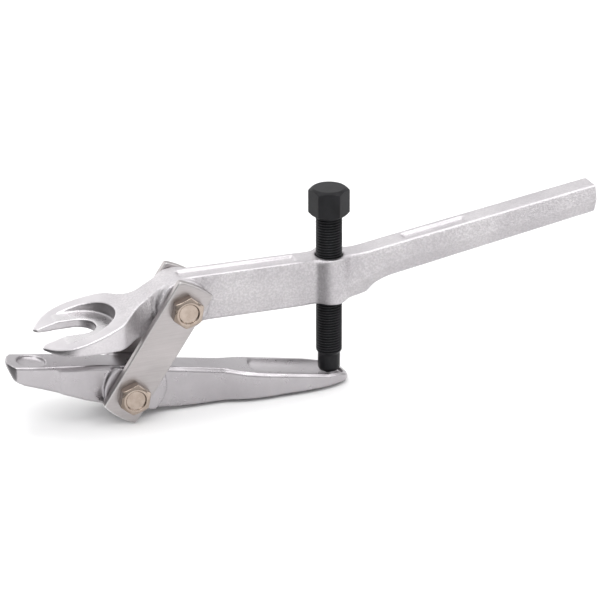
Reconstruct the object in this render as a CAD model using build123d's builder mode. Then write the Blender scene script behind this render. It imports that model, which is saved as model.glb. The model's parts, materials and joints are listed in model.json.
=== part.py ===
"""Ball joint separator: a forked arm, a press lever hung on two links, and a pressure screw.

Units are millimetres. The origin is the centre of the fork's slot at seat level,
+X runs along the arm to the handle and +Z is up along the pressure screw.
"""

import os
from math import atan2, cos, degrees, hypot, radians, sin, tan

from build123d import *

os.makedirs("parts", exist_ok=True)

# Fork head
slot_width = 18.0
seat_radius = 19.0
fork_front_x = -24.0
rim_height_at_origin = 2.4
rim_slope = 0.27
fork_outline = [
    (-20.6, 14.1),
    (-15.0, 22.0),
    (-8.7, 26.3),
    (-2.0, 27.6),
    (5.0, 27.1),
    (12.6, 25.2),
    (19.0, 22.0),
    (24.0, 16.0),
    (29.0, 10.4),
    (37.0, 8.2),
]
tine_inner_tip = (-19.2, slot_width / 2)
tine_nose = (-21.4, 11.2)

# Arm body
cut_through = 40.0
parting_z = 7.0
draft_angle = 4.0
bar_half_width = 8.2
bar_start_x = 30.0
bar_end_x = 147.0
body_top_z = 21.8
body_bottom_z = -3.4
groove_depth = 1.2
groove_draft = 20.0

# Link pivots
upper_pivot = (53.25, 7.7)
lower_pivot = (23.8, -36.6)
arm_boss_radius = 14.0
boss_half_width = 11.0
boss_edge_radius = 1.0
pivot_hole_radius = 5.05
pivot_shank_radius = 5.0

# Pressure screw
screw_x = 136.0
screw_boss_radius = 12.5
screw_bore_radius = 7.05
thread_crest_radius = 6.98
thread_depth = 0.92
thread_pitch = 1.5
thread_turns = 49
thread_bottom_z = -32.0
dog_radius = 5.95
dog_round = 1.5
screw_tip_z = -45.0
head_across_flats = 19.0
head_corner_radius = 10.55
head_bottom_z = 44.4
head_top_z = 59.0
head_turn = -18.6
ball_radius = 4.0
ball_centre_z = -43.4
ball_socket_radius = 4.06

# Handle: a six-sided forging that grows out of the body behind the screw boss.
# Its root is given as (x, bottom, ridge, top), and then it runs straight to its end.
handle_root = [
    (145.0, -2.9, 7.0, 22.0),
    (150.5, -1.7, 7.6, 21.9),
    (155.0, -0.5, 9.0, 22.3),
    (157.3, 1.9, 10.0, 22.7),
    (159.6, 3.9, 11.1, 23.1),
    (164.6, 6.1, 13.6, 23.9),
    (170.0, 7.5, 15.8, 24.8),
    (177.0, 8.6, 17.2, 25.9),
]
handle_end_x = 286.4
handle_slopes = {"bottom": 0.179, "ridge": 0.172, "top": 0.160}
handle_flat_half_width = 6.6
handle_ridge_half_width = 8.8
handle_edge_radius = 0.9
handle_groove_x = 195.0

# Link plates
plate_inner_y = 11.3
plate_thickness = 4.5
plate_left_edge = 11.35
plate_right_edge = -9.35
plate_left_half_length = 38.3
plate_right_half_length = 39.4
plate_middle_half_length = 40.1
plate_corner_radius = 1.0
plate_edge_radius = 0.6

# Press lever
lever_pad_centre = (26.5, -35.0)
lever_pad_radius = 16.7
trough_radius = 15.0
trough_floor_z = -47.7
trough_slope = -0.1915
trough_start = [(97.0, 12.8), (91.0, 0.0)]
trough_end = [(139.3, 6.7), (143.4, 0.0)]
cup_centre = (-25.5, -15.4)
cup_radius = 7.4
cup_wall = 1.4
cup_dish = 2.4
cup_floor_radius = 3.0
cup_slope = -0.145

# Pivot fasteners, M10 with 15 mm hexagons
bolt_across_flats = 15.0
bolt_corner_radius = 8.5
bolt_crown_radius = 6.6
bolt_chamfer_angle = 30.0
bolt_head_height = 5.6
bolt_turn = 20.0
bolt_end_chamfer = 0.8
nut_height = 6.0
nut_turn = 3.6
insert_height = 2.2
insert_radius = 6.6
fastener_bore_radius = 5.02
bolt_end_y = 25.2
swivel_gap = 0.1

link_angle = atan2(upper_pivot[1] - lower_pivot[1], upper_pivot[0] - lower_pivot[0])
link_length = hypot(upper_pivot[0] - lower_pivot[0], upper_pivot[1] - lower_pivot[1])
plate_outer_y = plate_inner_y + plate_thickness


def side_plane(x, y, z):
    """Return a plane seen from the front of the tool: local X is +X and local Y is +Z."""
    return Plane(origin=(x, y, z), x_dir=(1, 0, 0), z_dir=(0, -1, 0))


def handle_section(x, bottom, ridge, top):
    """Return the six-sided forged section of the handle at x."""
    corners = [
        (handle_flat_half_width, bottom),
        (handle_ridge_half_width, ridge),
        (handle_flat_half_width, top),
        (-handle_flat_half_width, top),
        (-handle_ridge_half_width, ridge),
        (-handle_flat_half_width, bottom),
    ]
    with BuildSketch(Plane.YZ.offset(x)) as section:
        with BuildLine():
            Polyline(*corners, close=True)
        make_face()
        fillet(section.vertices(), handle_edge_radius)
    return section.sketch


# ------------------------------------------------------------------ handle
root_end = handle_root[-1]
straight_run = handle_end_x - root_end[0]
handle_end = [
    handle_end_x,
    root_end[1] + handle_slopes["bottom"] * straight_run,
    root_end[2] + handle_slopes["ridge"] * straight_run,
    root_end[3] + handle_slopes["top"] * straight_run,
]

with BuildPart() as handle:
    loft([handle_section(*station) for station in (*handle_root, handle_end)], ruled=True)

# ---------------------------------------------------------------- fork arm
rim_left_z = rim_height_at_origin + rim_slope * fork_front_x
parting_up = Plane.XY.offset(parting_z)
parting_down = Plane(origin=(0, 0, parting_z), x_dir=(1, 0, 0), z_dir=(0, 0, -1))

with BuildPart() as fork_arm:
    # Body bar and screw boss, drafted both ways from the parting plane
    for parting_plane in (parting_up, parting_down):
        with BuildSketch(parting_plane):
            with Locations(((bar_start_x + bar_end_x) / 2, 0)):
                Rectangle(bar_end_x - bar_start_x, 2 * bar_half_width)
            with Locations((screw_x, 0)):
                Circle(screw_boss_radius)
        extrude(amount=20, taper=draft_angle)

    # Fork head in plan
    with BuildSketch(Plane.XY.offset(-12)):
        with BuildLine():
            for side in (1, -1):
                outline = [(x, side * y) for x, y in fork_outline]
                Spline(*outline)
                ThreePointArc(
                    (tine_inner_tip[0], side * tine_inner_tip[1]),
                    (tine_nose[0], side * tine_nose[1]),
                    outline[0],
                )
            Line((fork_outline[-1][0], fork_outline[-1][1]), (fork_outline[-1][0], -fork_outline[-1][1]))
            Line(tine_inner_tip, (tine_inner_tip[0], -tine_inner_tip[1]))
        make_face()
    extrude(amount=40)

    # Side profile trims the body and the fork
    with BuildSketch(Plane.XZ):
        with BuildLine():
            Line((fork_front_x, rim_left_z), (14.0, 6.18))
            Spline(
                (14.0, 6.18),
                (24.0, 8.7),
                (29.0, 10.8),
                (35.2, 14.2),
                (41.0, 17.9),
                (48.0, 20.9),
                (55.0, body_top_z),
                tangents=[(1, rim_slope), (1, 0)],
            )
            Polyline((55.0, body_top_z), (122.0, body_top_z), (127.0, 22.0), (bar_end_x, 22.0))
            Line((bar_end_x, 22.0), (bar_end_x, -2.6))
            Polyline((bar_end_x, -2.6), (138.0, -3.6), (124.0, body_bottom_z), (68.0, body_bottom_z))
            Spline(
                (68.0, body_bottom_z),
                (58.0, -5.2),
                (44.0, -6.6),
                (28.0, -6.9),
                (12.0, -6.0),
                (0.0, -4.8),
                tangents=[(-1, 0), (-1, 0.06)],
            )
            Polyline((0.0, -4.8), (fork_front_x, -5.1), (fork_front_x, rim_left_z))
        make_face()
    extrude(amount=cut_through, both=True, mode=Mode.INTERSECT)

    # Pivot bosses stand out on both sides of the body
    with BuildSketch(side_plane(upper_pivot[0], 0, upper_pivot[1])):
        Circle(arm_boss_radius)
    extrude(amount=boss_half_width, both=True)

    # Handle
    add(handle.part)

    # Seat pocket, open to the front, and the slot through it
    with BuildSketch(Plane.XY):
        Circle(seat_radius)
        with Locations((-20, 0)):
            Rectangle(40, 2 * seat_radius)
    extrude(amount=cut_through, mode=Mode.SUBTRACT)
    with BuildSketch(Plane.XY):
        Circle(slot_width / 2)
        with Locations((-20, 0)):
            Rectangle(40, slot_width)
    extrude(amount=cut_through, both=True, mode=Mode.SUBTRACT)

    # Screw bore with a lead-in at each end
    with Locations((screw_x, 0, 9)):
        Cylinder(screw_bore_radius, 40, mode=Mode.SUBTRACT)
    with Locations((screw_x, 0, 21.5)):
        Cone(screw_bore_radius, screw_bore_radius + 1, 1, mode=Mode.SUBTRACT)
    with Locations((screw_x, 0, -3.0)):
        Cone(screw_bore_radius + 1, screw_bore_radius, 1, mode=Mode.SUBTRACT)

    # Pivot hole
    with BuildSketch(side_plane(upper_pivot[0], 0, upper_pivot[1])):
        Circle(pivot_hole_radius)
    extrude(amount=cut_through, both=True, mode=Mode.SUBTRACT)

    # Lightening grooves in the top of the body and of the handle
    with BuildSketch(Plane.XY.offset(body_top_z)):
        with Locations((85.0, 0)):
            RectangleRounded(64, 7.6, 1.6)
    extrude(amount=-groove_depth, taper=groove_draft, mode=Mode.SUBTRACT)
    slope = handle_slopes["top"]
    groove_origin = (handle_groove_x, 0, root_end[3] + slope * (handle_groove_x - root_end[0]))
    groove_plane = Plane(origin=groove_origin, x_dir=(1, 0, slope), z_dir=(-slope, 0, 1))
    with BuildSketch(groove_plane):
        RectangleRounded(36, 6.4, 1.4)
    extrude(amount=-groove_depth, taper=groove_draft, mode=Mode.SUBTRACT)

    # Rounded edges of the bosses
    boss_edges = fork_arm.edges().filter_by(GeomType.CIRCLE).filter_by(
        lambda e: abs(e.center().Y) > boss_half_width - 0.1 and e.radius > arm_boss_radius - 0.1
    )
    fillet(boss_edges, boss_edge_radius)
fork_arm.part.label = "fork_arm"

# ------------------------------------------------------------- press lever
beak_outline = [(-35.0, 9.6), (-24.0, 9.7), (-13.6, 9.7)]
lever_outline = [
    (-12.4, 10.5),
    (-6.0, 10.8),
    (1.0, 10.4),
    (8.0, 9.2),
    (16.0, 8.4),
    (40.0, 8.2),
    (70.0, 8.2),
    (76.0, 8.6),
    (84.0, 10.9),
    (91.0, 12.0),
    (108.0, 12.2),
    (124.0, 11.8),
    (133.0, 10.6),
    (140.0, 8.2),
]
beak_tip_x = -38.7
lever_tip_x = 146.2
lever_top_line = [
    (-40.0, -13.2),
    (-35.0, -14.0),
    (-14.0, -17.0),
    (0.0, -18.6),
    (16.0, -21.6),
    (46.0, -27.2),
    (81.0, -33.6),
    (91.0, -35.7),
    (128.0, -42.3),
    (137.0, -44.1),
    (141.5, -45.7),
    (144.6, -47.6),
    (147.0, -49.4),
]
lever_bottom_line = [
    (147.0, -50.6),
    (112.0, -50.6),
    (84.0, -50.6),
    (56.0, -50.4),
    (31.0, -47.6),
    (8.0, -41.0),
    (-6.0, -35.0),
    (-18.4, -29.8),
    (-31.0, -25.0),
]
lever_chin = (-36.4, -21.8)
trough_tilt = degrees(atan2(-trough_slope, 1))
cup_origin = (cup_centre[0], 0, cup_centre[1])
cup_plane = Plane(origin=cup_origin, x_dir=(1, 0, cup_slope), z_dir=(-cup_slope, 0, 1))

with BuildPart() as trough:
    with Locations(Location((screw_x, 0, trough_floor_z + trough_radius), (0, 90 + trough_tilt, 0))):
        Cylinder(trough_radius, 4 * cut_through)
    with BuildSketch(Plane.XY.offset(-60)):
        with BuildLine():
            Polyline(trough_start[0], (130.0, 12.8), (134.0, 8.8), trough_end[0])
            ThreePointArc(trough_end[0], trough_end[1], (trough_end[0][0], -trough_end[0][1]))
            Polyline(
                (trough_end[0][0], -trough_end[0][1]),
                (134.0, -8.8),
                (130.0, -12.8),
                (trough_start[0][0], -trough_start[0][1]),
            )
            ThreePointArc((trough_start[0][0], -trough_start[0][1]), trough_start[1], trough_start[0])
        make_face()
    extrude(amount=60, mode=Mode.INTERSECT)

with BuildPart() as press_lever:
    # Plan of the lever: beak, bar, widened trough end and rounded tip
    with BuildSketch(Plane.XY.offset(-60)):
        with BuildLine():
            for side in (1, -1):
                beak = [(x, side * y) for x, y in beak_outline]
                bar = [(x, side * y) for x, y in lever_outline]
                Spline(*beak)
                Line(beak[-1], bar[0])
                Spline(*bar)
            ThreePointArc((beak[0][0], -beak[0][1]), (beak_tip_x, 0), beak[0])
            ThreePointArc((bar[-1][0], -bar[-1][1]), (lever_tip_x, 0), bar[-1])
        make_face()
    extrude(amount=60)

    # Side profile
    with BuildSketch(Plane.XZ):
        with BuildLine():
            Spline(*lever_top_line)
            Line(lever_top_line[-1], lever_bottom_line[0])
            Spline(*lever_bottom_line)
            Polyline(lever_bottom_line[-1], lever_chin, lever_top_line[0])
        make_face()
    extrude(amount=cut_through, both=True, mode=Mode.INTERSECT)

    # Pivot pads on both sides, trimmed to the lever's own profile
    with BuildSketch(Plane.XZ):
        with BuildLine():
            Spline(*lever_top_line)
            Line(lever_top_line[-1], lever_bottom_line[0])
            Spline(*lever_bottom_line)
            Polyline(lever_bottom_line[-1], lever_chin, lever_top_line[0])
        make_face()
        with Locations(lever_pad_centre):
            Circle(lever_pad_radius, mode=Mode.INTERSECT)
    extrude(amount=boss_half_width, both=True)

    # Trough that the screw's ball rides in
    add(trough.part, mode=Mode.SUBTRACT)

    # Dished cup in the beak
    with BuildSketch(Plane(origin=cup_plane.origin, x_dir=cup_plane.x_dir, z_dir=(0, -1, 0))):
        with BuildLine():
            Polyline((0, -cup_dish), (0, 6), (cup_radius, 6), (cup_radius, -cup_wall))
            ThreePointArc((cup_radius, -cup_wall), (5.4, -2.08), (cup_floor_radius, -cup_dish))
            Line((cup_floor_radius, -cup_dish), (0, -cup_dish))
        make_face()
    revolve(axis=Axis(cup_plane.origin, cup_plane.z_dir), mode=Mode.SUBTRACT)

    # Pivot hole
    with BuildSketch(side_plane(lower_pivot[0], 0, lower_pivot[1])):
        Circle(pivot_hole_radius)
    extrude(amount=30, both=True, mode=Mode.SUBTRACT)
press_lever.part.label = "press_lever"


# ------------------------------------------------------------- link plates
def link_plate(outer_y):
    """Return one link plate whose outer face lies at outer_y."""
    side = 1 if outer_y > 0 else -1
    middle_x = (upper_pivot[0] + lower_pivot[0]) / 2
    middle_z = (upper_pivot[1] + lower_pivot[1]) / 2
    along = (cos(link_angle), 0, sin(link_angle))
    face_plane = Plane(origin=(middle_x, outer_y, middle_z), x_dir=along, z_dir=(0, -1, 0))
    left = plate_left_edge
    right = plate_right_edge
    left_end = plate_left_half_length
    right_end = plate_right_half_length
    with BuildPart() as plate:
        with BuildSketch(face_plane) as plate_face:
            with BuildLine():
                Line((-left_end, left), (left_end, left))
                ThreePointArc((left_end, left), (plate_middle_half_length, 0), (right_end, right))
                Line((right_end, right), (-right_end, right))
                ThreePointArc((-right_end, right), (-plate_middle_half_length, 0), (-left_end, left))
            make_face()
            fillet(plate_face.vertices(), plate_corner_radius)
            with Locations((link_length / 2, 0), (-link_length / 2, 0)):
                Circle(pivot_hole_radius, mode=Mode.SUBTRACT)
        extrude(amount=side * plate_thickness)
        outer_face = plate.faces().sort_by(Axis.Y)[-1 if side > 0 else 0]
        fillet(outer_face.outer_wire().edges(), plate_edge_radius)
    return plate.part


link_plate_front = link_plate(-plate_outer_y)
link_plate_front.label = "link_plate_front"
link_plate_rear = link_plate(plate_outer_y)
link_plate_rear.label = "link_plate_rear"


# ---------------------------------------------------------- pivot fasteners
def pivot_bolt(pivot, gap):
    """Return a hexagon bolt along +Y whose head bears on the front plate."""
    head_y = -plate_outer_y - gap
    end_y = bolt_end_y + gap
    toward_head = Plane(origin=(pivot[0], head_y, pivot[1]), x_dir=(1, 0, 0), z_dir=(0, -1, 0))
    toward_nut = Plane(origin=(pivot[0], head_y, pivot[1]), x_dir=(1, 0, 0), z_dir=(0, 1, 0))
    slope_height = (bolt_corner_radius - bolt_crown_radius) * tan(radians(bolt_chamfer_angle))
    with BuildPart() as bolt:
        with BuildSketch(toward_head):
            RegularPolygon(bolt_across_flats / 2, 6, major_radius=False, rotation=bolt_turn - 30)
        extrude(amount=bolt_head_height)
        with BuildSketch(Plane(origin=toward_head.origin, x_dir=(1, 0, 0), z_dir=(0, 0, 1))):
            with BuildLine():
                Polyline(
                    (0, 0),
                    (bolt_corner_radius, 0),
                    (bolt_corner_radius, -bolt_head_height + slope_height),
                    (bolt_crown_radius, -bolt_head_height),
                    (0, -bolt_head_height),
                    close=True,
                )
            make_face()
        revolve(axis=Axis(toward_head.origin, (0, 1, 0)), mode=Mode.INTERSECT)
        with BuildSketch(toward_nut):
            Circle(pivot_shank_radius)
        extrude(amount=end_y - head_y)
        chamfer(bolt.edges().sort_by(Axis.Y)[-1], bolt_end_chamfer)
    return bolt.part


def ring(pivot, start_y, height, radius, sides):
    """Return a nut or an insert round the pivot axis, from start_y outward."""
    base = Plane(origin=(pivot[0], start_y, pivot[1]), x_dir=(1, 0, 0), z_dir=(0, 1, 0))
    with BuildPart() as body:
        with BuildSketch(base):
            if sides:
                RegularPolygon(radius, sides, major_radius=False, rotation=nut_turn)
            else:
                Circle(radius)
            Circle(fastener_bore_radius, mode=Mode.SUBTRACT)
        extrude(amount=height)
    return body.part


fasteners = {}
for name, pivot, gap in (("upper", upper_pivot, 0.0), ("lower", lower_pivot, swivel_gap)):
    nut_y = plate_outer_y + gap
    insert_y = nut_y + nut_height
    fasteners[name + "_pivot_bolt"] = pivot_bolt(pivot, gap)
    fasteners[name + "_lock_nut"] = ring(pivot, nut_y, nut_height, bolt_across_flats / 2, 6)
    fasteners[name + "_nut_insert"] = ring(pivot, insert_y, insert_height, insert_radius, 0)

# ---------------------------------------------------------- pressure screw
thread_profile = []
for turn in range(thread_turns):
    z = thread_bottom_z + turn * thread_pitch
    thread_profile.append((thread_crest_radius, z))
    thread_profile.append((thread_crest_radius - thread_depth, z + 0.56))
    thread_profile.append((thread_crest_radius - thread_depth, z + 0.94))
    thread_profile.append((thread_crest_radius, z + thread_pitch - 0.19))
thread_top_z = thread_bottom_z + thread_turns * thread_pitch
screw_axis = Axis((screw_x, 0, 0), (0, 0, 1))

with BuildPart() as screw_head:
    # Hexagon, chamfered at both ends
    with BuildSketch(Plane.XY.offset(head_bottom_z)):
        with Locations((screw_x, 0)):
            RegularPolygon(head_across_flats / 2, 6, major_radius=False, rotation=30 + head_turn)
    extrude(amount=head_top_z - head_bottom_z)
    with BuildSketch(side_plane(screw_x, 0, 0)):
        with BuildLine():
            Polyline(
                (0, head_bottom_z),
                (head_corner_radius - 0.9, head_bottom_z),
                (head_corner_radius, head_bottom_z + 0.6),
                (head_corner_radius, head_top_z - 1.4),
                (head_corner_radius - 2.3, head_top_z),
                (0, head_top_z),
                close=True,
            )
        make_face()
    revolve(axis=screw_axis, mode=Mode.INTERSECT)

with BuildPart() as pressure_screw:
    # Shank: dog tip, lead-in and thread
    with BuildSketch(side_plane(screw_x, 0, 0)):
        with BuildLine():
            Polyline((0, head_bottom_z), (0, screw_tip_z), (dog_radius - dog_round, screw_tip_z))
            RadiusArc(
                (dog_radius - dog_round, screw_tip_z),
                (dog_radius, screw_tip_z + dog_round),
                -dog_round,
            )
            Polyline(
                (dog_radius, screw_tip_z + dog_round),
                (dog_radius, thread_bottom_z - 3.2),
                *thread_profile,
                (thread_crest_radius, thread_top_z),
                (thread_crest_radius, head_bottom_z),
                (0, head_bottom_z),
            )
        make_face()
    revolve(axis=screw_axis)

    # Hexagon head
    add(screw_head.part)

    # Socket that keeps the thrust ball captive
    with Locations((screw_x, 0, ball_centre_z)):
        Sphere(ball_socket_radius, mode=Mode.SUBTRACT)
pressure_screw.part.label = "pressure_screw"

with BuildPart() as thrust_ball:
    with Locations((screw_x, 0, ball_centre_z)):
        Sphere(ball_radius)
thrust_ball.part.label = "thrust_ball"

# ------------------------------------------------------------------ export
export_step(fork_arm.part, "parts/fork_arm.step")
export_step(press_lever.part, "parts/press_lever.step")
export_step(link_plate_front, "parts/link_plate_front.step")
export_step(link_plate_rear, "parts/link_plate_rear.step")
export_step(pressure_screw.part, "parts/pressure_screw.step")
export_step(thrust_ball.part, "parts/thrust_ball.step")
for name, piece in fasteners.items():
    piece.label = name
    export_step(piece, "parts/" + name + ".step")
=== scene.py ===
"""Ball joint separator: its looks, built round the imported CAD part.

Everything is in metres in the part's own frame. The forgings and plates are
remeshed from their CAD nodes so that their edges are rounded, and the screw,
bolts and nuts are built here in full detail.
"""

import json
from math import atan2, ceil, cos, hypot, pi, radians, sin, tau

import bmesh
import bpy
import numpy as np
from mathutils import Matrix, Vector


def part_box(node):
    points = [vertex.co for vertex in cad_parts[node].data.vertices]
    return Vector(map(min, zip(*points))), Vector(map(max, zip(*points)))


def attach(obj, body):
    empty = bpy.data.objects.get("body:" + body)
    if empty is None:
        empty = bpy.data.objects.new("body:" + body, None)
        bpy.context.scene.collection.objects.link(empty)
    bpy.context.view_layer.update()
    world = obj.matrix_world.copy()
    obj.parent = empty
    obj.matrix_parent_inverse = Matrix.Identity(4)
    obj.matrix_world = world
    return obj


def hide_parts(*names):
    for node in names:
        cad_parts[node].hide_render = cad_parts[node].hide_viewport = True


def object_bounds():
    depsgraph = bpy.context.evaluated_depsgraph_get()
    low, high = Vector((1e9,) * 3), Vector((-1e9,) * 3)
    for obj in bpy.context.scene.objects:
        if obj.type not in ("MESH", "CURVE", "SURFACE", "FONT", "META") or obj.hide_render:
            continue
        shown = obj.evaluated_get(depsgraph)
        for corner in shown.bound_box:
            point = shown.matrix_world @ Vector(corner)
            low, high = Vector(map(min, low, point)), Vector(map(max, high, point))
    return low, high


MM = 0.001

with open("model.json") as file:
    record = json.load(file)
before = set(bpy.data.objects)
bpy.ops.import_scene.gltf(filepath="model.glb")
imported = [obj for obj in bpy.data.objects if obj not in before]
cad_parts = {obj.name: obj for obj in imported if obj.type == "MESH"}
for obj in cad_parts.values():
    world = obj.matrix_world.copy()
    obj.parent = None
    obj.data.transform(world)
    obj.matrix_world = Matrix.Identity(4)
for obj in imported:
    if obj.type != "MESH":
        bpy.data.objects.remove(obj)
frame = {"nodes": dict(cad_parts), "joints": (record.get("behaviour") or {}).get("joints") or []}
cad_low, cad_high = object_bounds()
nodes = frame["nodes"]
joints = {j["name"]: j for j in frame["joints"]}

# Hexagons and threads of the bolts, nuts and screw
THREAD_PITCH = 1.5 * MM
BOLT_RADIUS = 5.0 * MM
BOLT_APOTHEM = 7.5 * MM
BOLT_CORNER = 8.62 * MM
HEAD_HEIGHT = 5.6 * MM
BOLT_TURN = radians(20.0)
NUT_TURN = radians(33.6)
SCREW_APOTHEM = 9.5 * MM
SCREW_CORNER = 10.94 * MM
SCREW_HEAD_HEIGHT = 14.6 * MM
SCREW_HEAD_TURN = radians(-108.6)

# The lever's top line (x, z) and its half-width (x, y), in millimetres
LEVER_TOP = [
    (-40.0, -13.2),
    (-14.0, -17.0),
    (0.0, -18.6),
    (16.0, -21.6),
    (46.0, -27.2),
    (91.0, -35.7),
    (128.0, -42.3),
    (137.0, -44.1),
    (141.5, -45.7),
    (147.0, -49.4),
]
LEVER_SIDE = [
    (-40.0, 9.6),
    (-13.6, 9.7),
    (-12.4, 10.5),
    (-6.0, 10.8),
    (1.0, 10.4),
    (8.0, 9.2),
    (16.0, 8.4),
    (40.0, 8.2),
    (70.0, 8.2),
    (76.0, 8.6),
    (84.0, 10.9),
    (91.0, 12.0),
    (108.0, 12.2),
    (124.0, 11.8),
    (133.0, 10.6),
    (140.0, 8.2),
    (144.0, 5.6),
    (146.2, 0.0),
]


# ------------------------------------------------------------------ camera
CAMERA_PLACE = Vector((-225.31, -1025.01, 473.26)) * MM
CAMERA_TARGET = Vector((119.82, 0.0, -2.77)) * MM
CAMERA_ROLL = radians(-0.298)
CAMERA_LENS = 134.33


def make_camera():
    """Place the camera at the photograph's viewing angle."""
    forward = (CAMERA_TARGET - CAMERA_PLACE).normalized()
    level_right = forward.cross(Vector((0, 0, 1))).normalized()
    level_up = level_right.cross(forward)
    right = cos(CAMERA_ROLL) * level_right + sin(CAMERA_ROLL) * level_up
    up = cos(CAMERA_ROLL) * level_up - sin(CAMERA_ROLL) * level_right
    data = bpy.data.cameras.new("camera")
    data.sensor_width = 36.0
    data.lens = CAMERA_LENS
    data.clip_start = 0.05
    data.clip_end = 50.0
    camera = bpy.data.objects.new("camera", data)
    bpy.context.scene.collection.objects.link(camera)
    axes = Matrix((right, up, -forward)).transposed()
    camera.matrix_world = Matrix.Translation(CAMERA_PLACE) @ axes.to_4x4()
    bpy.context.scene.camera = camera


# ------------------------------------------------------- mesh measurements
def mesh_points(mesh):
    """Return the mesh's vertices as rows of an array."""
    flat = np.empty(len(mesh.vertices) * 3)
    mesh.vertices.foreach_get("co", flat)
    return flat.reshape(-1, 3)


def mesh_normals(mesh):
    """Return the mesh's vertex normals as rows of an array."""
    flat = np.empty(len(mesh.vertices) * 3, np.float32)
    mesh.vertices.foreach_get("normal", flat)
    return flat.reshape(-1, 3).astype(float)


def mesh_edges(mesh):
    """Return the mesh's edges as pairs of vertex numbers."""
    flat = np.empty(len(mesh.edges) * 2, np.int32)
    mesh.edges.foreach_get("vertices", flat)
    return flat.reshape(-1, 2)


def neighbour_mean(values, edges):
    """Return, for each vertex, the mean of its neighbours' values."""
    size = len(values)
    first = edges[:, 0]
    second = edges[:, 1]
    count = np.bincount(first, minlength=size) + np.bincount(second, minlength=size)
    columns = []
    for column in values.T:
        total = np.bincount(first, column[second], size) + np.bincount(second, column[first], size)
        columns.append(total / np.maximum(count, 1))
    return np.stack(columns, 1)


def smooth_values(values, edges, rounds):
    """Return the values after that many rounds of averaging with their neighbours."""
    for _ in range(rounds):
        values = 0.5 * values + 0.5 * neighbour_mean(values, edges)
    return values


def smoothstep(x, low, high):
    """Return 0 below low, 1 above high and a smooth blend between them."""
    t = np.clip((x - low) / (high - low), 0.0, 1.0)
    return t * t * (3 - 2 * t)


def lattice_noise(points, cell, seed):
    """Return smooth value noise from -1 to 1 with the given cell size."""
    grid = points / cell
    base = np.floor(grid).astype(np.int64)
    part = grid - base
    part = part * part * (3 - 2 * part)
    total = np.zeros(len(points))
    for corner in range(8):
        step = np.array([corner & 1, corner >> 1 & 1, corner >> 2 & 1])
        cellid = base + step
        h = cellid[:, 0] * 73856093 ^ cellid[:, 1] * 19349663 ^ cellid[:, 2] * 83492791 ^ seed * 2654435
        h = h & 0x7FFFFFFF
        h = (h * ((h * h & 0x7FFFFFFF) * 15731 & 0x7FFFFFFF) + 1376312589) & 0x7FFFFFFF
        weight = np.prod(np.where(step == 1, part, 1 - part), 1)
        total += weight * (h / float(0x3FFFFFFF) - 1.0)
    return total


def set_attribute(mesh, name, values):
    """Store one number per vertex for the materials to read."""
    attribute = mesh.attributes.new(name, "FLOAT", "POINT")
    attribute.data.foreach_set("value", np.ascontiguousarray(values, np.float32))


def add_piece(name, mesh, body, stands_for, material):
    """Make an object of the mesh, which rides on a body and stands for CAD nodes."""
    for polygon in mesh.polygons:
        polygon.use_smooth = True
    mesh.materials.clear()
    mesh.materials.append(material)
    piece = bpy.data.objects.new(name, mesh)
    bpy.context.scene.collection.objects.link(piece)
    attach(piece, body)
    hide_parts(*stands_for)
    return piece


# ----------------------------------------------------------- forged shapes
def remeshed(node, voxel, rounds):
    """Return a copy of a CAD node's mesh with even faces and rounded edges."""
    source = nodes[node].data.copy()
    welded = bmesh.new()
    welded.from_mesh(source)
    bmesh.ops.remove_doubles(welded, verts=welded.verts, dist=0.001 * MM)
    welded.to_mesh(source)
    welded.free()
    holder = bpy.data.objects.new(node + "_source", source)
    bpy.context.scene.collection.objects.link(holder)
    remesh = holder.modifiers.new("remesh", "REMESH")
    remesh.mode = "VOXEL"
    remesh.voxel_size = voxel
    remesh.adaptivity = 0.0
    graph = bpy.context.evaluated_depsgraph_get()
    mesh = bpy.data.meshes.new_from_object(holder.evaluated_get(graph))
    bpy.data.objects.remove(holder)
    bpy.data.meshes.remove(source)
    mesh.name = node + "_mesh"
    edges = mesh_edges(mesh)
    points = smooth_values(mesh_points(mesh), edges, rounds)
    mesh.vertices.foreach_set("co", points.ravel())
    mesh.update()
    return mesh


def soften(mesh, mask, rounds):
    """Round the surface further where the mask is 1."""
    edges = mesh_edges(mesh)
    points = mesh_points(mesh)
    share = mask[:, None]
    for _ in range(rounds):
        points = points + 0.5 * share * (neighbour_mean(points, edges) - points)
    mesh.vertices.foreach_set("co", points.ravel())
    mesh.update()


def mark_edges(mesh, voxel, rubbed=0.0):
    """Store how convex the surface is (rubbed edges, partly a painted highlight), how hollow it is
    (painted shade in creases), where it faces down (painted shade) and where it faces left (painted
    shade on forgings and zinc, a painted highlight on the plates).
    """
    points = mesh_points(mesh)
    normals = mesh_normals(mesh)
    edges = mesh_edges(mesh)
    hollow = ((neighbour_mean(points, edges) - points) * normals).sum(1) / voxel
    hollow = smooth_values(hollow[:, None], edges, 3)[:, 0]
    set_attribute(mesh, "wear_and_sheen", np.maximum(smoothstep(-hollow, 0.035, 0.14), rubbed))
    set_attribute(mesh, "crease_shade", smoothstep(hollow, 0.02, 0.10))
    set_attribute(mesh, "under", smoothstep(-normals[:, 2], -0.02, 0.22))
    leftward = smoothstep(-normals[:, 0], 0.10, 0.55)
    upright = smoothstep(0.5 - normals[:, 2], 0.0, 0.4)
    set_attribute(mesh, "left_shade_and_sheen", leftward * upright)


def displace(mesh, amount):
    """Move each vertex along its normal by its amount."""
    points = mesh_points(mesh) + mesh_normals(mesh) * amount[:, None]
    mesh.vertices.foreach_set("co", points.ravel())
    mesh.update()


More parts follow.
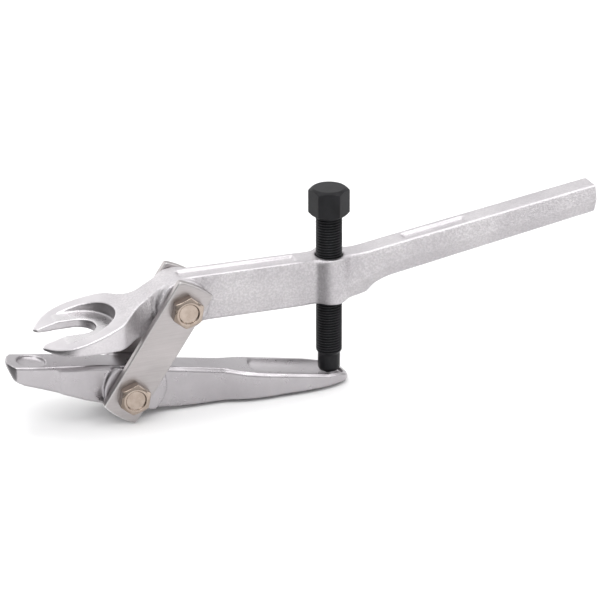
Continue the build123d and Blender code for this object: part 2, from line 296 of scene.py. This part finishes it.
def make_arm(material):
    """Build the forked arm: shot-blast sides, smoother top and fork, parting line."""
    voxel = 0.45 * MM
    screw_x = 136.0
    body_line = 7.0
    inset = 0.07
    mesh = remeshed("fork_arm", voxel, 10)
    points = mesh_points(mesh) / MM
    x = points[:, 0]
    y = points[:, 1]
    z = points[:, 2]
    beside_boss = np.exp(-(((np.abs(x - screw_x) - 10.0) / 4.5) ** 2))
    soften(mesh, beside_boss * smoothstep(np.abs(y), 5.5, 8.0), 70)
    # The floor of the fork's pocket lies at z = 0 and is rubbed bright
    in_pocket = np.hypot(np.maximum(x, 0.0), y) < 18.8
    seat = 0.7 * smoothstep(-np.abs(z), -0.5, -0.2) * in_pocket
    mark_edges(mesh, voxel, seat)

    points = mesh_points(mesh)
    x = points[:, 0] / MM
    z = points[:, 2] / MM
    sideways = np.abs(mesh_normals(mesh)[:, 1])
    grain = smoothstep(sideways, 0.35, 0.85) * (0.35 + 0.65 * smoothstep(x, 40.0, 62.0))
    grain = np.maximum(grain, 0.45 * smoothstep(x, 22.0, 50.0))
    neck = smoothstep(x, 14.0, 24.0) * (1 - smoothstep(x, 44.0, 60.0))
    grain = np.maximum(grain, 0.8 * neck)
    set_attribute(mesh, "grain", grain)

    # The parting line is level along the body and climbs with the handle
    handle_line = 17.2 + 0.172 * (x - 177.0)
    blend = smoothstep(x, 145.0, 172.0)
    parting = body_line * (1 - blend) + handle_line * blend
    flash = np.exp(-(((z - parting) / 0.55) ** 2))
    flash = flash * smoothstep(sideways, 0.8, 0.95) * smoothstep(x, 50.0, 66.0)
    swell = 0.045 * lattice_noise(points, 9 * MM, 3) + 0.02 * lattice_noise(points, 3.5 * MM, 5)
    pits = 0.05 * lattice_noise(points, 1.1 * MM, 11) * grain
    displace(mesh, (swell + pits - inset + 0.10 * flash) * MM)
    return add_piece("arm_forging", mesh, "arm", ["fork_arm"], material)


def make_lever(material):
    """Build the press lever: a smoother forging whose rounded edges are bright from their facet and from
    a painted highlight.
    """
    voxel = 0.36 * MM
    inset = 0.05
    mesh = remeshed("press_lever", voxel, 8)
    bevel_lever(mesh)
    soften_lever(mesh)
    mark_edges(mesh, voxel)
    points = mesh_points(mesh)
    set_attribute(mesh, "grain", np.full(len(points), 0.12))
    swell = 0.03 * lattice_noise(points, 11 * MM, 21)
    displace(mesh, (swell - inset) * MM)
    return add_piece("lever_forging", mesh, "lever", ["press_lever"], material)


def depth_below_top(points):
    """Return how far each point lies under the lever's top line."""
    return np.interp(points[:, 0], *zip(*LEVER_TOP)) - points[:, 2]


def bevel_lever(mesh):
    """Cut a slanting facet along the lever's upper edges, which catches the light."""
    points = mesh_points(mesh) / MM
    x = points[:, 0]
    below = np.maximum(depth_below_top(points), 0.0)
    half_width = np.interp(x, *zip(*LEVER_SIDE))
    inside = np.maximum(half_width - np.abs(points[:, 1]), 0.0)
    # The facet is narrower on the beak and fades out at the tip
    leg = 0.9 + 1.0 * smoothstep(x, -15.0, -12.0) - 1.1 * smoothstep(x, 132.0, 143.0)
    # The round pads beside the lower bolt keep their shape
    from_pad = np.hypot(x - 26.5, points[:, 2] + 35.0)
    on_pad = (1 - smoothstep(from_pad, 16.0, 17.2)) * (np.abs(points[:, 1]) > 9.0)
    cut = np.maximum(leg - below - inside, 0.0) * 0.5 * (1 - on_pad)
    points[:, 2] -= cut
    points[:, 1] -= np.sign(points[:, 1]) * cut
    points *= MM
    mesh.vertices.foreach_set("co", smooth_values(points, mesh_edges(mesh), 3).ravel())
    mesh.update()


def soften_lever(mesh):
    """Round the lever's nose and upper edges, but not the rim of its cup."""
    points = mesh_points(mesh) / MM
    off_cup = np.hypot(points[:, 0] + 27.0, points[:, 1]) > 8.8
    nose = smoothstep(-points[:, 0], 33.5, 36.0) * off_cup
    near_top = smoothstep(-depth_below_top(points), -3.4, -2.2)
    along_edge = near_top * (np.abs(points[:, 1]) > 7.0) * off_cup
    soften(mesh, np.maximum(nose, 0.8 * along_edge), 9)


def make_plate(node, name, material):
    """Build one link plate with rounded edges."""
    voxel = 0.36 * MM
    mesh = remeshed(node, voxel, 6)
    mark_edges(mesh, voxel)
    return add_piece(name, mesh, "links", [node], material)


# ----------------------------------------------------------- turned shapes
def soft_min(a, b, softness):
    """Return the smaller of two arrays, rounded where they cross."""
    low = np.minimum(a, b)
    return low - softness * np.log(np.exp((low - a) / softness) + np.exp((low - b) / softness))


def hexagon_radius(angle, apothem, turn, softness):
    """Return the distance from the middle of a hexagon to its rounded side."""
    offset = np.mod(angle - turn + pi / 6, pi / 3) - pi / 6
    nearest = apothem / np.cos(offset)
    next_side = apothem / np.cos(pi / 3 - np.abs(offset))
    return soft_min(nearest, next_side, softness)


def ring_angles(count, turn, hexagonal):
    """Return angles round a turned piece, closer together near a hexagon's corners."""
    if not hexagonal:
        return np.arange(count) * tau / count
    per_side = count // 6
    steps = (np.arange(per_side) + 0.5) / per_side * 2 - 1
    shares = np.sin(steps * pi / 2)
    sides = [turn + side * pi / 3 + shares * pi / 6 for side in range(6)]
    return np.concatenate(sides)


def fine_profile(profile, step):
    """Return the profile with its long runs divided into steps."""
    points = [profile[0]]
    for (r0, h0), (r1, h1) in zip(profile[:-1], profile[1:]):
        parts = max(1, ceil(hypot(r1 - r0, h1 - h0) / step))
        for part in range(1, parts + 1):
            share = part / parts
            points.append((r0 + (r1 - r0) * share, h0 + (h1 - h0) * share))
    return points


def turned_mesh(name, profile, place, count, step, closed=False, hexagon=None, thread=None):
    """Build a turned piece from (radius, height) points, along place's Z axis.

    count is the number of points round it, and step the longest run along the profile.
    hexagon is (apothem, turn, rounding) and limits the radius to a hexagon.
    thread is (pitch, depth, crest radius, start, end) and cuts a helical groove.
    """
    rows = np.array(fine_profile(profile, step))
    angles = ring_angles(count, hexagon[1] if hexagon else 0.0, bool(hexagon))
    theta = np.tile(angles, (len(rows), 1))
    radius = np.tile(rows[:, :1], (1, len(angles)))
    height = np.tile(rows[:, 1:], (1, len(angles)))
    if hexagon:
        apothem, turn, softness = hexagon
        limit = hexagon_radius(theta, apothem, turn, softness)
        radius = np.where(radius > 0.7 * apothem, soft_min(radius, limit, softness), radius)
    if thread:
        pitch, depth, crest, start, end = thread
        phase = np.mod(height / pitch - theta / tau, 1.0)
        away = np.abs(phase - 0.5) * 2
        groove = 1 - smoothstep(away, 0.18, 0.84)
        fade = smoothstep(height, start - pitch * 0.4, start + pitch * 0.6)
        fade = fade * (1 - smoothstep(height, end - pitch * 0.8, end + pitch * 0.2))
        cut = np.minimum(radius, crest - depth * groove * fade)
        radius = np.where(radius < crest * 1.0001, cut, radius)
    points = np.stack([radius * np.cos(theta), radius * np.sin(theta), height], 2)
    size = len(angles)
    count_rows = len(rows)
    body = bmesh.new()
    grid = []
    for row in range(count_rows):
        if not closed and rows[row, 0] < 1e-9:
            grid.append([body.verts.new((0, 0, rows[row, 1]))])
        else:
            grid.append([body.verts.new(points[row, k]) for k in range(size)])
    pairs = [(row, row + 1) for row in range(count_rows - 1)]
    if closed:
        pairs.append((count_rows - 1, 0))
    for low, high in pairs:
        a = grid[low]
        b = grid[high]
        for k in range(size):
            n = (k + 1) % size
            if len(a) == 1:
                body.faces.new((a[0], b[n], b[k]))
            elif len(b) == 1:
                body.faces.new((a[k], a[n], b[0]))
            else:
                body.faces.new((a[k], a[n], b[n], b[k]))
    bmesh.ops.recalc_face_normals(body, faces=body.faces)
    bmesh.ops.transform(body, matrix=place, verts=body.verts)
    mesh = bpy.data.meshes.new(name + "_mesh")
    body.to_mesh(mesh)
    body.free()
    return mesh


def rounded(profile, index, radius, parts=5):
    """Return the profile with one corner replaced by a small arc."""
    before = np.array(profile[index - 1], float)
    corner = np.array(profile[index], float)
    after = np.array(profile[(index + 1) % len(profile)], float)
    start = corner + (before - corner) / np.linalg.norm(before - corner) * radius
    end = corner + (after - corner) / np.linalg.norm(after - corner) * radius
    arc = []
    for part in range(parts + 1):
        t = part / parts
        arc.append(tuple((1 - t) ** 2 * start + 2 * t * (1 - t) * corner + t * t * end))
    return profile[:index] + arc + profile[index + 1 :]


def rounded_all(profile, radii):
    """Round several corners, given as {index: radius}."""
    for index in sorted(radii, reverse=True):
        profile = rounded(profile, index, radii[index])
    return profile


def mark_turned(mesh):
    """Store the numbers that the materials read on a turned piece."""
    mark_edges(mesh, 0.3 * MM)
    set_attribute(mesh, "grain", np.zeros(len(mesh.vertices)))


def axis_place(x, y, z, direction):
    """Return the matrix whose Z axis runs along +Y or -Y from a point."""
    turn = Matrix.Rotation(radians(-90 * direction), 4, "X")
    return Matrix.Translation((x, y, z)) @ turn


def pivot_of(which):
    """Return where the upper or the lower bolt's axis crosses the middle plane."""
    return Vector(joints["link_swing" if which == "upper" else "pin_swivel"]["pos_m"])


def make_bolt(which, body, materials):
    """Build a pivot bolt: indented hexagon head, shank and threaded end."""
    node = which + "_pivot_bolt"
    low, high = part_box(node)
    pivot = pivot_of(which)
    seat_y = low.y + HEAD_HEIGHT
    # Heights run from the plate towards the camera side
    place = axis_place(pivot.x, seat_y, pivot.z, -1)
    top = HEAD_HEIGHT
    end = -(high.y - seat_y)
    crown = 6.5 * MM
    profile = [
        (0.0, end),
        (4.2 * MM, end),
        (BOLT_RADIUS, end + 0.8 * MM),
        (BOLT_RADIUS, 0.0),
        (7.1 * MM, 0.0),
        (BOLT_CORNER, 0.35 * MM),
        (BOLT_CORNER, top - 1.25 * MM),
        (crown, top - 0.12 * MM),
        (6.1 * MM, top),
        (5.5 * MM, top),
        (4.95 * MM, top - 0.95 * MM),
        (0.0, top - 1.0 * MM),
    ]
    profile = rounded_all(profile, {6: 0.3 * MM, 8: 0.3 * MM, 9: 0.25 * MM, 10: 0.3 * MM})
    # One corner of the head points BOLT_TURN above +X
    turn = BOLT_TURN - pi / 6
    mesh = turned_mesh(
        node,
        profile,
        place,
        count=120,
        step=0.22 * MM,
        hexagon=(BOLT_APOTHEM, turn, 0.05 * MM),
        thread=(THREAD_PITCH, 0.85 * MM, BOLT_RADIUS, end + 0.6 * MM, end + 22 * MM),
    )
    mark_turned(mesh)
    return add_piece(which + "_bolt", mesh, body, [node], materials["zinc"])


def make_nut(which, body, materials):
    """Build a lock nut whose collar holds a nylon ring."""
    node = which + "_lock_nut"
    low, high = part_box(node)
    _, insert_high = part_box(which + "_nut_insert")
    pivot = pivot_of(which)
    place = axis_place(pivot.x, low.y, pivot.z, 1)
    hex_top = high.y - low.y
    collar = insert_high.y - low.y - 0.15 * MM
    bore = 5.02 * MM
    profile = [
        (bore, 0.5 * MM),
        (bore + 0.5 * MM, 0.0),
        (7.2 * MM, 0.0),
        (BOLT_CORNER, 0.75 * MM),
        (BOLT_CORNER, hex_top - 1.3 * MM),
        (7.0 * MM, hex_top - 0.3 * MM),
        (6.95 * MM, collar - 0.9 * MM),
        (6.3 * MM, collar),
        (5.9 * MM, collar),
        (5.9 * MM, hex_top - 0.2 * MM),
        (bore, hex_top - 0.4 * MM),
    ]
    profile = rounded_all(profile, {4: 0.3 * MM, 7: 0.3 * MM, 8: 0.15 * MM})
    # The middle of one flat points NUT_TURN below +X
    mesh = turned_mesh(
        node,
        profile,
        place,
        count=120,
        step=0.3 * MM,
        closed=True,
        hexagon=(BOLT_APOTHEM, NUT_TURN, 0.05 * MM),
    )
    mark_turned(mesh)
    add_piece(which + "_nut", mesh, body, [node], materials["zinc"])
    ring_low = hex_top - 0.15 * MM
    ring_high = collar - 0.25 * MM
    ring = [
        (5.06 * MM, ring_low),
        (5.84 * MM, ring_low),
        (5.84 * MM, ring_high),
        (5.06 * MM, ring_high - 0.15 * MM),
    ]
    ring = rounded_all(ring, {2: 0.25 * MM, 3: 0.25 * MM})
    mesh = turned_mesh(node + "_ring", ring, place, count=72, step=0.25 * MM, closed=True)
    mark_turned(mesh)
    return add_piece(which + "_nylon_ring", mesh, body, [which + "_nut_insert"], materials["nylon"])


def make_screw(materials):
    """Build the pressure screw with its true helical thread and hexagon head."""
    low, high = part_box("pressure_screw")
    middle = (low.x + high.x) / 2
    place = Matrix.Translation((middle, 0.0, 0.0))
    tip = low.z
    top = high.z
    head_low = top - SCREW_HEAD_HEIGHT
    crest = 6.98 * MM
    dog = 5.95 * MM
    thread_low = -32.0 * MM
    # The ball sits in a round socket behind a narrower mouth
    ball_height = tip + 1.6 * MM
    socket = 4.06 * MM
    mouth = 3.73 * MM
    profile = [
        (0.0, ball_height + socket),
        (2.0 * MM, ball_height + 3.5 * MM),
        (3.6 * MM, ball_height + 1.9 * MM),
        (socket, ball_height),
        (mouth, tip),
        (4.5 * MM, tip),
        (5.4 * MM, tip + 0.35 * MM),
        (dog, tip + 1.5 * MM),
        (dog, thread_low - 3.0 * MM),
        (crest, thread_low - 1.2 * MM),
        (crest, head_low - 0.6 * MM),
        (9.55 * MM, head_low),
        (SCREW_CORNER, head_low + 0.8 * MM),
        (SCREW_CORNER, top - 1.75 * MM),
        (8.35 * MM, top - 0.06 * MM),
        (0.0, top),
    ]
    profile = rounded_all(profile, {7: 0.5 * MM, 8: 0.4 * MM, 9: 0.4 * MM, 11: 0.3 * MM, 14: 0.35 * MM})
    mesh = turned_mesh(
        "pressure_screw",
        profile,
        place,
        count=108,
        step=0.125 * MM,
        hexagon=(SCREW_APOTHEM, SCREW_HEAD_TURN, 0.06 * MM),
        thread=(THREAD_PITCH, 0.92 * MM, crest, thread_low - 1.6 * MM, head_low - 1.6 * MM),
    )
    mark_turned(mesh)
    return add_piece("black_screw", mesh, "screw", ["pressure_screw"], materials["black"])


# --------------------------------------------------------------- materials
class Nodes:
    """A short way to add and link shader nodes."""

    def __init__(self, name):
        self.material = bpy.data.materials.new(name)
        self.material.use_nodes = True
        self.tree = self.material.node_tree
        self.shader = self.tree.nodes["Principled BSDF"]
        self.coords = self.add("ShaderNodeTexCoord").outputs["Object"]

    def add(self, kind, **settings):
        """Add a node and set its properties."""
        node = self.tree.nodes.new(kind)
        for key, value in settings.items():
            setattr(node, key, value)
        return node

    def link(self, output, target):
        """Link an output to an input socket."""
        self.tree.links.new(output, target)

    def attribute(self, name):
        """Return a per-vertex number."""
        return self.add("ShaderNodeAttribute", attribute_name=name).outputs["Fac"]

    def stretched(self, scale, turn=(0, 0, 0)):
        """Return object coordinates, turned and scaled."""
        mapping = self.add("ShaderNodeMapping")
        mapping.inputs["Rotation"].default_value = turn
        mapping.inputs["Scale"].default_value = scale
        self.link(self.coords, mapping.inputs["Vector"])
        return mapping.outputs["Vector"]

    def noise(self, scale, detail=2.0, roughness=0.5, vector=None):
        """Return noise from 0 to 1 at the given scale per metre."""
        node = self.add("ShaderNodeTexNoise")
        node.inputs["Scale"].default_value = scale
        node.inputs["Detail"].default_value = detail
        node.inputs["Roughness"].default_value = roughness
        self.link(vector if vector is not None else self.coords, node.inputs["Vector"])
        return node.outputs["Fac"]

    def cells(self, scale):
        """Return the distance to the nearest of scattered points."""
        node = self.add("ShaderNodeTexVoronoi")
        node.inputs["Scale"].default_value = scale
        self.link(self.coords, node.inputs["Vector"])
        return node.outputs["Distance"]

    def math(self, operation, a, b):
        """Return the result of a sum on two outputs or numbers."""
        node = self.add("ShaderNodeMath", operation=operation)
        for socket, value in zip(node.inputs, (a, b)):
            if isinstance(value, (int, float)):
                socket.default_value = value
            else:
                self.link(value, socket)
        return node.outputs[0]

    def remap(self, value, low, high, to_low, to_high):
        """Return the value mapped from one range to another, clamped."""
        node = self.add("ShaderNodeMapRange")
        node.inputs["From Min"].default_value = low
        node.inputs["From Max"].default_value = high
        node.inputs["To Min"].default_value = to_low
        node.inputs["To Max"].default_value = to_high
        self.link(value, node.inputs["Value"])
        return node.outputs["Result"]

    def mix(self, factor, a, b):
        """Return a colour between a and b."""
        node = self.add("ShaderNodeMix", data_type="RGBA")
        self.link(factor, node.inputs[0])
        for socket, value in ((node.inputs[6], a), (node.inputs[7], b)):
            if isinstance(value, tuple):
                socket.default_value = (*value, 1.0)
            else:
                self.link(value, socket)
        return node.outputs[2]

    def bump(self, height, strength, distance, below=None):
        """Return a normal bent by the height."""
        node = self.add("ShaderNodeBump")
        node.inputs["Distance"].default_value = distance
        if isinstance(strength, (int, float)):
            node.inputs["Strength"].default_value = strength
        else:
            self.link(strength, node.inputs["Strength"])
        self.link(height, node.inputs["Height"])
        if below is not None:
            self.link(below, node.inputs["Normal"])
        return node.outputs["Normal"]


def darker(colour, share):
    """Return a colour scaled towards black."""
    return tuple(share * part for part in colour)


def forged_steel(name, light, dark, edge, edge_share, left_shade_share, rough, grain_scale, bumps, dents):
    """Satin forged steel: blasted grain where marked, brighter edges that are partly rubbed and
    partly a painted highlight, and painted shade in hollows, on downward faces and on left-facing sides.

    edge_share says how far the edges are lightened and left_shade_share how far painted shade darkens
    the left-facing sides, and bumps is the strength of the fine bumps where the grain is 0 and where it
    is 1.
    """
    n = Nodes(name)
    grain = n.attribute("grain")
    wear_and_sheen = n.attribute("wear_and_sheen")
    crease_shade = n.attribute("crease_shade")
    under = n.attribute("under")
    left_shade_and_sheen = n.attribute("left_shade_and_sheen")
    broad = n.noise(38, 3, 0.55)
    tone = n.mix(n.remap(broad, 0.34, 0.66, 0, 1), dark, light)
    speckle = n.noise(900, 2, 0.6)
    speck = n.math("MULTIPLY", n.remap(speckle, 0.42, 0.62, 0.32, 0.0), grain)
    tone = n.mix(speck, tone, darker(dark, 0.5))
    # Painted shade: hollows and creases are darkened
    tone = n.mix(n.math("MULTIPLY", crease_shade, 0.55), tone, darker(dark, 0.42))
    # Painted shade: faces that point down are darkened
    tone = n.mix(n.math("MULTIPLY", under, 0.30), tone, darker(dark, 0.55))
    # Painted shade: left-facing upright sides are darkened
    tone = n.mix(n.math("MULTIPLY", left_shade_and_sheen, left_shade_share), tone, darker(dark, 0.30))
    # Convex edges are lightened: rubbed bright, and partly a painted highlight
    tone = n.mix(n.math("MULTIPLY", wear_and_sheen, edge_share), tone, edge)
    n.link(tone, n.shader.inputs["Base Color"])
    n.shader.inputs["Metallic"].default_value = 1.0
    patchy = n.remap(n.noise(160, 4, 0.6), 0.35, 0.65, rough - 0.045, rough + 0.05)
    coarse = n.math("ADD", patchy, n.math("MULTIPLY", grain, 0.10))
    worn = n.math("SUBTRACT", coarse, n.math("MULTIPLY", wear_and_sheen, 0.06))
    n.link(worn, n.shader.inputs["Roughness"])
    pits = n.cells(grain_scale)
    fine = n.noise(grain_scale * 1.7, 3, 0.65)
    height = n.math("ADD", n.math("MULTIPLY", pits, 0.8), fine)
    strength = n.remap(grain, 0, 1, *bumps)
    bent = n.bump(height, strength, 0.0003)
    hammered = n.bump(n.noise(210, 2, 0.5), dents, 0.0006, bent)
    n.link(hammered, n.shader.inputs["Normal"])
    return n.material


def plate_steel():
    """Cold-rolled plate, brushed along its length, with a warm tint."""
    n = Nodes("plate_steel")
    upper = pivot_of("upper")
    lower = pivot_of("lower")
    lean = atan2(upper.z - lower.z, upper.x - lower.x)
    along = n.stretched((60, 900, 1500), (0, lean, 0))
    streaks = n.noise(1.0, 4, 0.62, along)
    broad = n.noise(55, 3, 0.5)
    wear_and_sheen = n.attribute("wear_and_sheen")
    tone = n.mix(n.remap(broad, 0.35, 0.65, 0, 1), (0.375, 0.35, 0.35), (0.43, 0.40, 0.40))
    tone = n.mix(n.remap(streaks, 0.35, 0.7, 0.0, 0.22), tone, (0.66, 0.64, 0.63))
    # Convex edges are lightened: rubbed bright, and partly a painted highlight
    tone = n.mix(n.math("MULTIPLY", wear_and_sheen, 0.75), tone, (0.84, 0.835, 0.83))
    # Painted highlight: left-facing sides of the plate are painted almost white
    tone = n.mix(n.math("MULTIPLY", n.attribute("left_shade_and_sheen"), 0.85), tone, (0.93, 0.925, 0.92))
    n.link(tone, n.shader.inputs["Base Color"])
    n.shader.inputs["Metallic"].default_value = 1.0
    n.link(n.remap(streaks, 0.3, 0.7, 0.30, 0.42), n.shader.inputs["Roughness"])
    grainy = n.bump(streaks, 0.10, 0.0003)
    waved = n.bump(n.noise(120, 2, 0.5), 0.05, 0.0008, grainy)
    n.link(waved, n.shader.inputs["Normal"])
    return n.material


def yellow_zinc():
    """Bright yellow-passivated zinc: champagne gold with soft iridescent clouds."""
    n = Nodes("yellow_zinc")
    clouds = n.noise(330, 3, 0.55)
    wear_and_sheen = n.attribute("wear_and_sheen")
    crease_shade = n.attribute("crease_shade")
    tone = n.mix(n.remap(clouds, 0.36, 0.66, 0, 1), (0.38, 0.31, 0.262), (0.46, 0.385, 0.33))
    # Painted shade: hollows, such as the dished recess in the heads, are darkened
    tone = n.mix(n.math("MULTIPLY", crease_shade, 0.8), tone, (0.16, 0.12, 0.085))
    # Painted shade: left-facing facets are darkened
    tone = n.mix(n.math("MULTIPLY", n.attribute("left_shade_and_sheen"), 0.75), tone, (0.13, 0.10, 0.08))
    # Convex edges are lightened: rubbed bright, and partly a painted highlight
    tone = n.mix(n.math("MULTIPLY", wear_and_sheen, 0.55), tone, (0.86, 0.78, 0.68))
    n.link(tone, n.shader.inputs["Base Color"])
    n.shader.inputs["Metallic"].default_value = 1.0
    n.link(n.remap(n.noise(700, 3, 0.6), 0.35, 0.65, 0.11, 0.20), n.shader.inputs["Roughness"])
    n.link(n.bump(n.noise(1500, 2, 0.5), 0.06, 0.0002), n.shader.inputs["Normal"])
    return n.material


def black_oxide():
    """Black-finished steel: deep satin black, rubbed lighter on its edges."""
    n = Nodes("black_oxide")
    wear_and_sheen = n.attribute("wear_and_sheen")
    broad = n.noise(140, 4, 0.6)
    tone = n.mix(n.remap(broad, 0.35, 0.68, 0, 1), (0.007, 0.007, 0.008), (0.014, 0.014, 0.016))
    scuffs = n.remap(n.noise(1100, 3, 0.7), 0.50, 0.70, 0.15, 0.9)
    tone = n.mix(n.math("MULTIPLY", n.math("MULTIPLY", wear_and_sheen, scuffs), 0.5), tone, (0.13, 0.13, 0.14))
    n.link(tone, n.shader.inputs["Base Color"])
    n.shader.inputs["Metallic"].default_value = 0.0
    n.shader.inputs["Specular IOR Level"].default_value = 0.17
    n.link(n.remap(broad, 0.3, 0.7, 0.36, 0.50), n.shader.inputs["Roughness"])
    n.link(n.bump(n.noise(1900, 3, 0.6), 0.14, 0.0002), n.shader.inputs["Normal"])
    return n.material


def nylon():
    """Off-white nylon of the lock nuts."""
    n = Nodes("nylon")
    tone = n.mix(n.remap(n.noise(420, 3, 0.5), 0.35, 0.65, 0, 1), (0.66, 0.67, 0.64), (0.80, 0.80, 0.77))
    n.link(tone, n.shader.inputs["Base Color"])
    n.link(n.remap(n.noise(900, 2, 0.5), 0.3, 0.7, 0.42, 0.58), n.shader.inputs["Roughness"])
    n.shader.inputs["Subsurface Weight"].default_value = 0.15
    n.shader.inputs["Subsurface Scale"].default_value = 0.001
    n.link(n.bump(n.noise(2500, 2, 0.5), 0.08, 0.0001), n.shader.inputs["Normal"])
    return n.material


def ball_steel():
    """Polished bearing steel with faint rub marks."""
    n = Nodes("ball_steel")
    rubs = n.noise(1.0, 3, 0.6, n.stretched((300, 300, 2600)))
    tone = n.mix(n.remap(rubs, 0.4, 0.65, 0, 1), (0.62, 0.62, 0.63), (0.74, 0.74, 0.75))
    n.link(tone, n.shader.inputs["Base Color"])
    n.shader.inputs["Metallic"].default_value = 1.0
    n.link(n.remap(rubs, 0.3, 0.7, 0.10, 0.20), n.shader.inputs["Roughness"])
    n.link(n.bump(rubs, 0.04, 0.0001), n.shader.inputs["Normal"])
    return n.material


# ---------------------------------------------------------- floor and light
def stage_card(name, quads, material):
    """Make a card of one or more flat quads for the set around the object, such as the floor or a flag.
    """
    body = bmesh.new()
    for quad in quads:
        body.faces.new([body.verts.new(corner) for corner in quad])
    mesh = bpy.data.meshes.new(name + "_mesh")
    body.to_mesh(mesh)
    body.free()
    mesh.materials.append(material)
    card = bpy.data.objects.new(name, mesh)
    bpy.context.scene.collection.objects.link(card)
    return card


def matt_paint(name, noise_scale, share_range, dark, light, roughness, specular):
    """Plain matt paint with a faint variation."""
    n = Nodes(name)
    noise = n.noise(noise_scale, 2, 0.5)
    share = n.remap(noise, *share_range, 0, 1)
    n.link(n.mix(share, (dark, dark, dark), (light, light, light)), n.shader.inputs["Base Color"])
    n.shader.inputs["Roughness"].default_value = roughness
    n.shader.inputs["Specular IOR Level"].default_value = specular
    return n.material


def make_floor():
    """Lay a plain pale floor under the object."""
    size = 14.0
    height = cad_low.z - 0.4 * MM
    quad = [(-size, -size, height), (size, -size, height), (size, size, height), (-size, size, height)]
    paint = matt_paint("floor_paint", 3, (0.3, 0.7), 0.93, 0.95, 0.9, 0.1)
    stage_card("floor", [quad], paint)


def area_light(name, place, aim, width, height, watts):
    """Hang a soft box that points at a spot."""
    data = bpy.data.lights.new(name, "AREA")
    data.shape = "RECTANGLE"
    data.size = width
    data.size_y = height
    data.energy = watts
    lamp = bpy.data.objects.new(name, data)
    bpy.context.scene.collection.objects.link(lamp)
    lamp.location = place
    lamp.visible_camera = False
    lamp.rotation_mode = "QUATERNION"
    lamp.rotation_quaternion = (Vector(aim) - Vector(place)).to_track_quat("-Z", "Y")


def make_flag():
    """Set a dark card on the left, seen only in reflections, to shape the left-facing sides."""
    left = -0.55
    right = -0.085
    low = cad_low.z + 2 * MM
    high = 0.28
    lying = [(left, -0.30, low), (right, -0.30, low), (right, 0.30, low), (left, 0.30, low)]
    upright = [(left, -0.45, low), (left, 0.45, low), (left, 0.45, high), (left, -0.45, high)]
    cloth = matt_paint("flag_cloth", 20, (0.0, 1.0), 0.10, 0.14, 0.95, 0.0)
    flag = stage_card("flag", [lying, upright], cloth)
    flag.visible_camera = False
    flag.visible_diffuse = False
    flag.visible_shadow = False
    flag.visible_transmission = False


def make_world():
    """Fill the room with soft light, brighter overhead and behind the object."""
    world = bpy.data.worlds.new("studio")
    bpy.context.scene.world = world
    world.use_nodes = True
    tree = world.node_tree
    background = tree.nodes["Background"]
    coords = tree.nodes.new("ShaderNodeTexCoord")
    split = tree.nodes.new("ShaderNodeSeparateXYZ")
    ramp = tree.nodes.new("ShaderNodeValToRGB")
    tree.links.new(coords.outputs["Generated"], split.inputs[0])
    tree.links.new(split.outputs["Z"], ramp.inputs[0])
    tree.links.new(ramp.outputs[0], background.inputs["Color"])
    stops = ((0.0, 0.62), (0.18, 0.70), (0.42, 0.98), (1.0, 1.0))
    ramp.color_ramp.elements[0].position = stops[0][0]
    ramp.color_ramp.elements[1].position = stops[-1][0]
    for position, _ in stops[1:-1]:
        ramp.color_ramp.elements.new(position)
    for element, (_, level) in zip(ramp.color_ramp.elements, stops):
        element.color = (level, level, level * 1.005, 1.0)
    behind = tree.nodes.new("ShaderNodeMapRange")
    behind.inputs["From Min"].default_value = 0.1
    behind.inputs["From Max"].default_value = 0.9
    behind.inputs["To Min"].default_value = 0.75
    behind.inputs["To Max"].default_value = 1.12
    tree.links.new(split.outputs["Y"], behind.inputs["Value"])
    tree.links.new(behind.outputs["Result"], background.inputs["Strength"])


# -------------------------------------------------------------------- build
scene = bpy.context.scene
scene.view_settings.view_transform = "Standard"
scene.view_settings.look = "None"

materials = {
    "arm": forged_steel(
        "forged_satin",
        light=(0.69, 0.665, 0.68),
        dark=(0.59, 0.565, 0.585),
        edge=(0.92, 0.915, 0.91),
        edge_share=0.35,
        left_shade_share=0.7,
        rough=0.33,
        grain_scale=1150,
        bumps=(0.06, 1.0),
        dents=0.10,
    ),
    "lever": forged_steel(
        "forged_polished",
        light=(0.49, 0.47, 0.485),
        dark=(0.42, 0.40, 0.415),
        edge=(0.88, 0.875, 0.88),
        edge_share=0.6,
        left_shade_share=0.0,
        rough=0.30,
        grain_scale=900,
        bumps=(0.01, 0.06),
        dents=0.015,
    ),
    "plate": plate_steel(),
    "zinc": yellow_zinc(),
    "black": black_oxide(),
    "nylon": nylon(),
    "ball": ball_steel(),
}

make_camera()
make_arm(materials["arm"])
make_lever(materials["lever"])
make_plate("link_plate_front", "front_plate", materials["plate"])
make_plate("link_plate_rear", "rear_plate", materials["plate"])
for which, body in (("upper", "links"), ("lower", "lower_pin")):
    make_bolt(which, body, materials)
    make_nut(which, body, materials)
make_screw(materials)

ball = nodes["thrust_ball"]
ball.data.materials.clear()
ball.data.materials.append(materials["ball"])
for polygon in ball.data.polygons:
    polygon.use_smooth = True

make_floor()
make_flag()
make_world()
# Name, place, aim, width, height and watts of each lamp
area_light("key", (-0.55, -0.75, 1.15), (0.10, 0.0, 0.0), 0.9, 0.9, 6.0)
area_light("top", (0.15, 0.35, 1.25), (0.12, 0.0, 0.0), 1.2, 0.8, 6.0)
area_light("fill", (1.05, -0.55, 0.65), (0.12, 0.0, 0.0), 0.7, 0.7, 2.0)
area_light("edge", (0.45, -0.50, 1.10), (0.10, 0.0, 0.0), 1.1, 0.35, 3.2)
area_light("back", (-0.45, 1.05, 0.22), (0.05, 0.0, 0.0), 1.1, 0.40, 1.6)
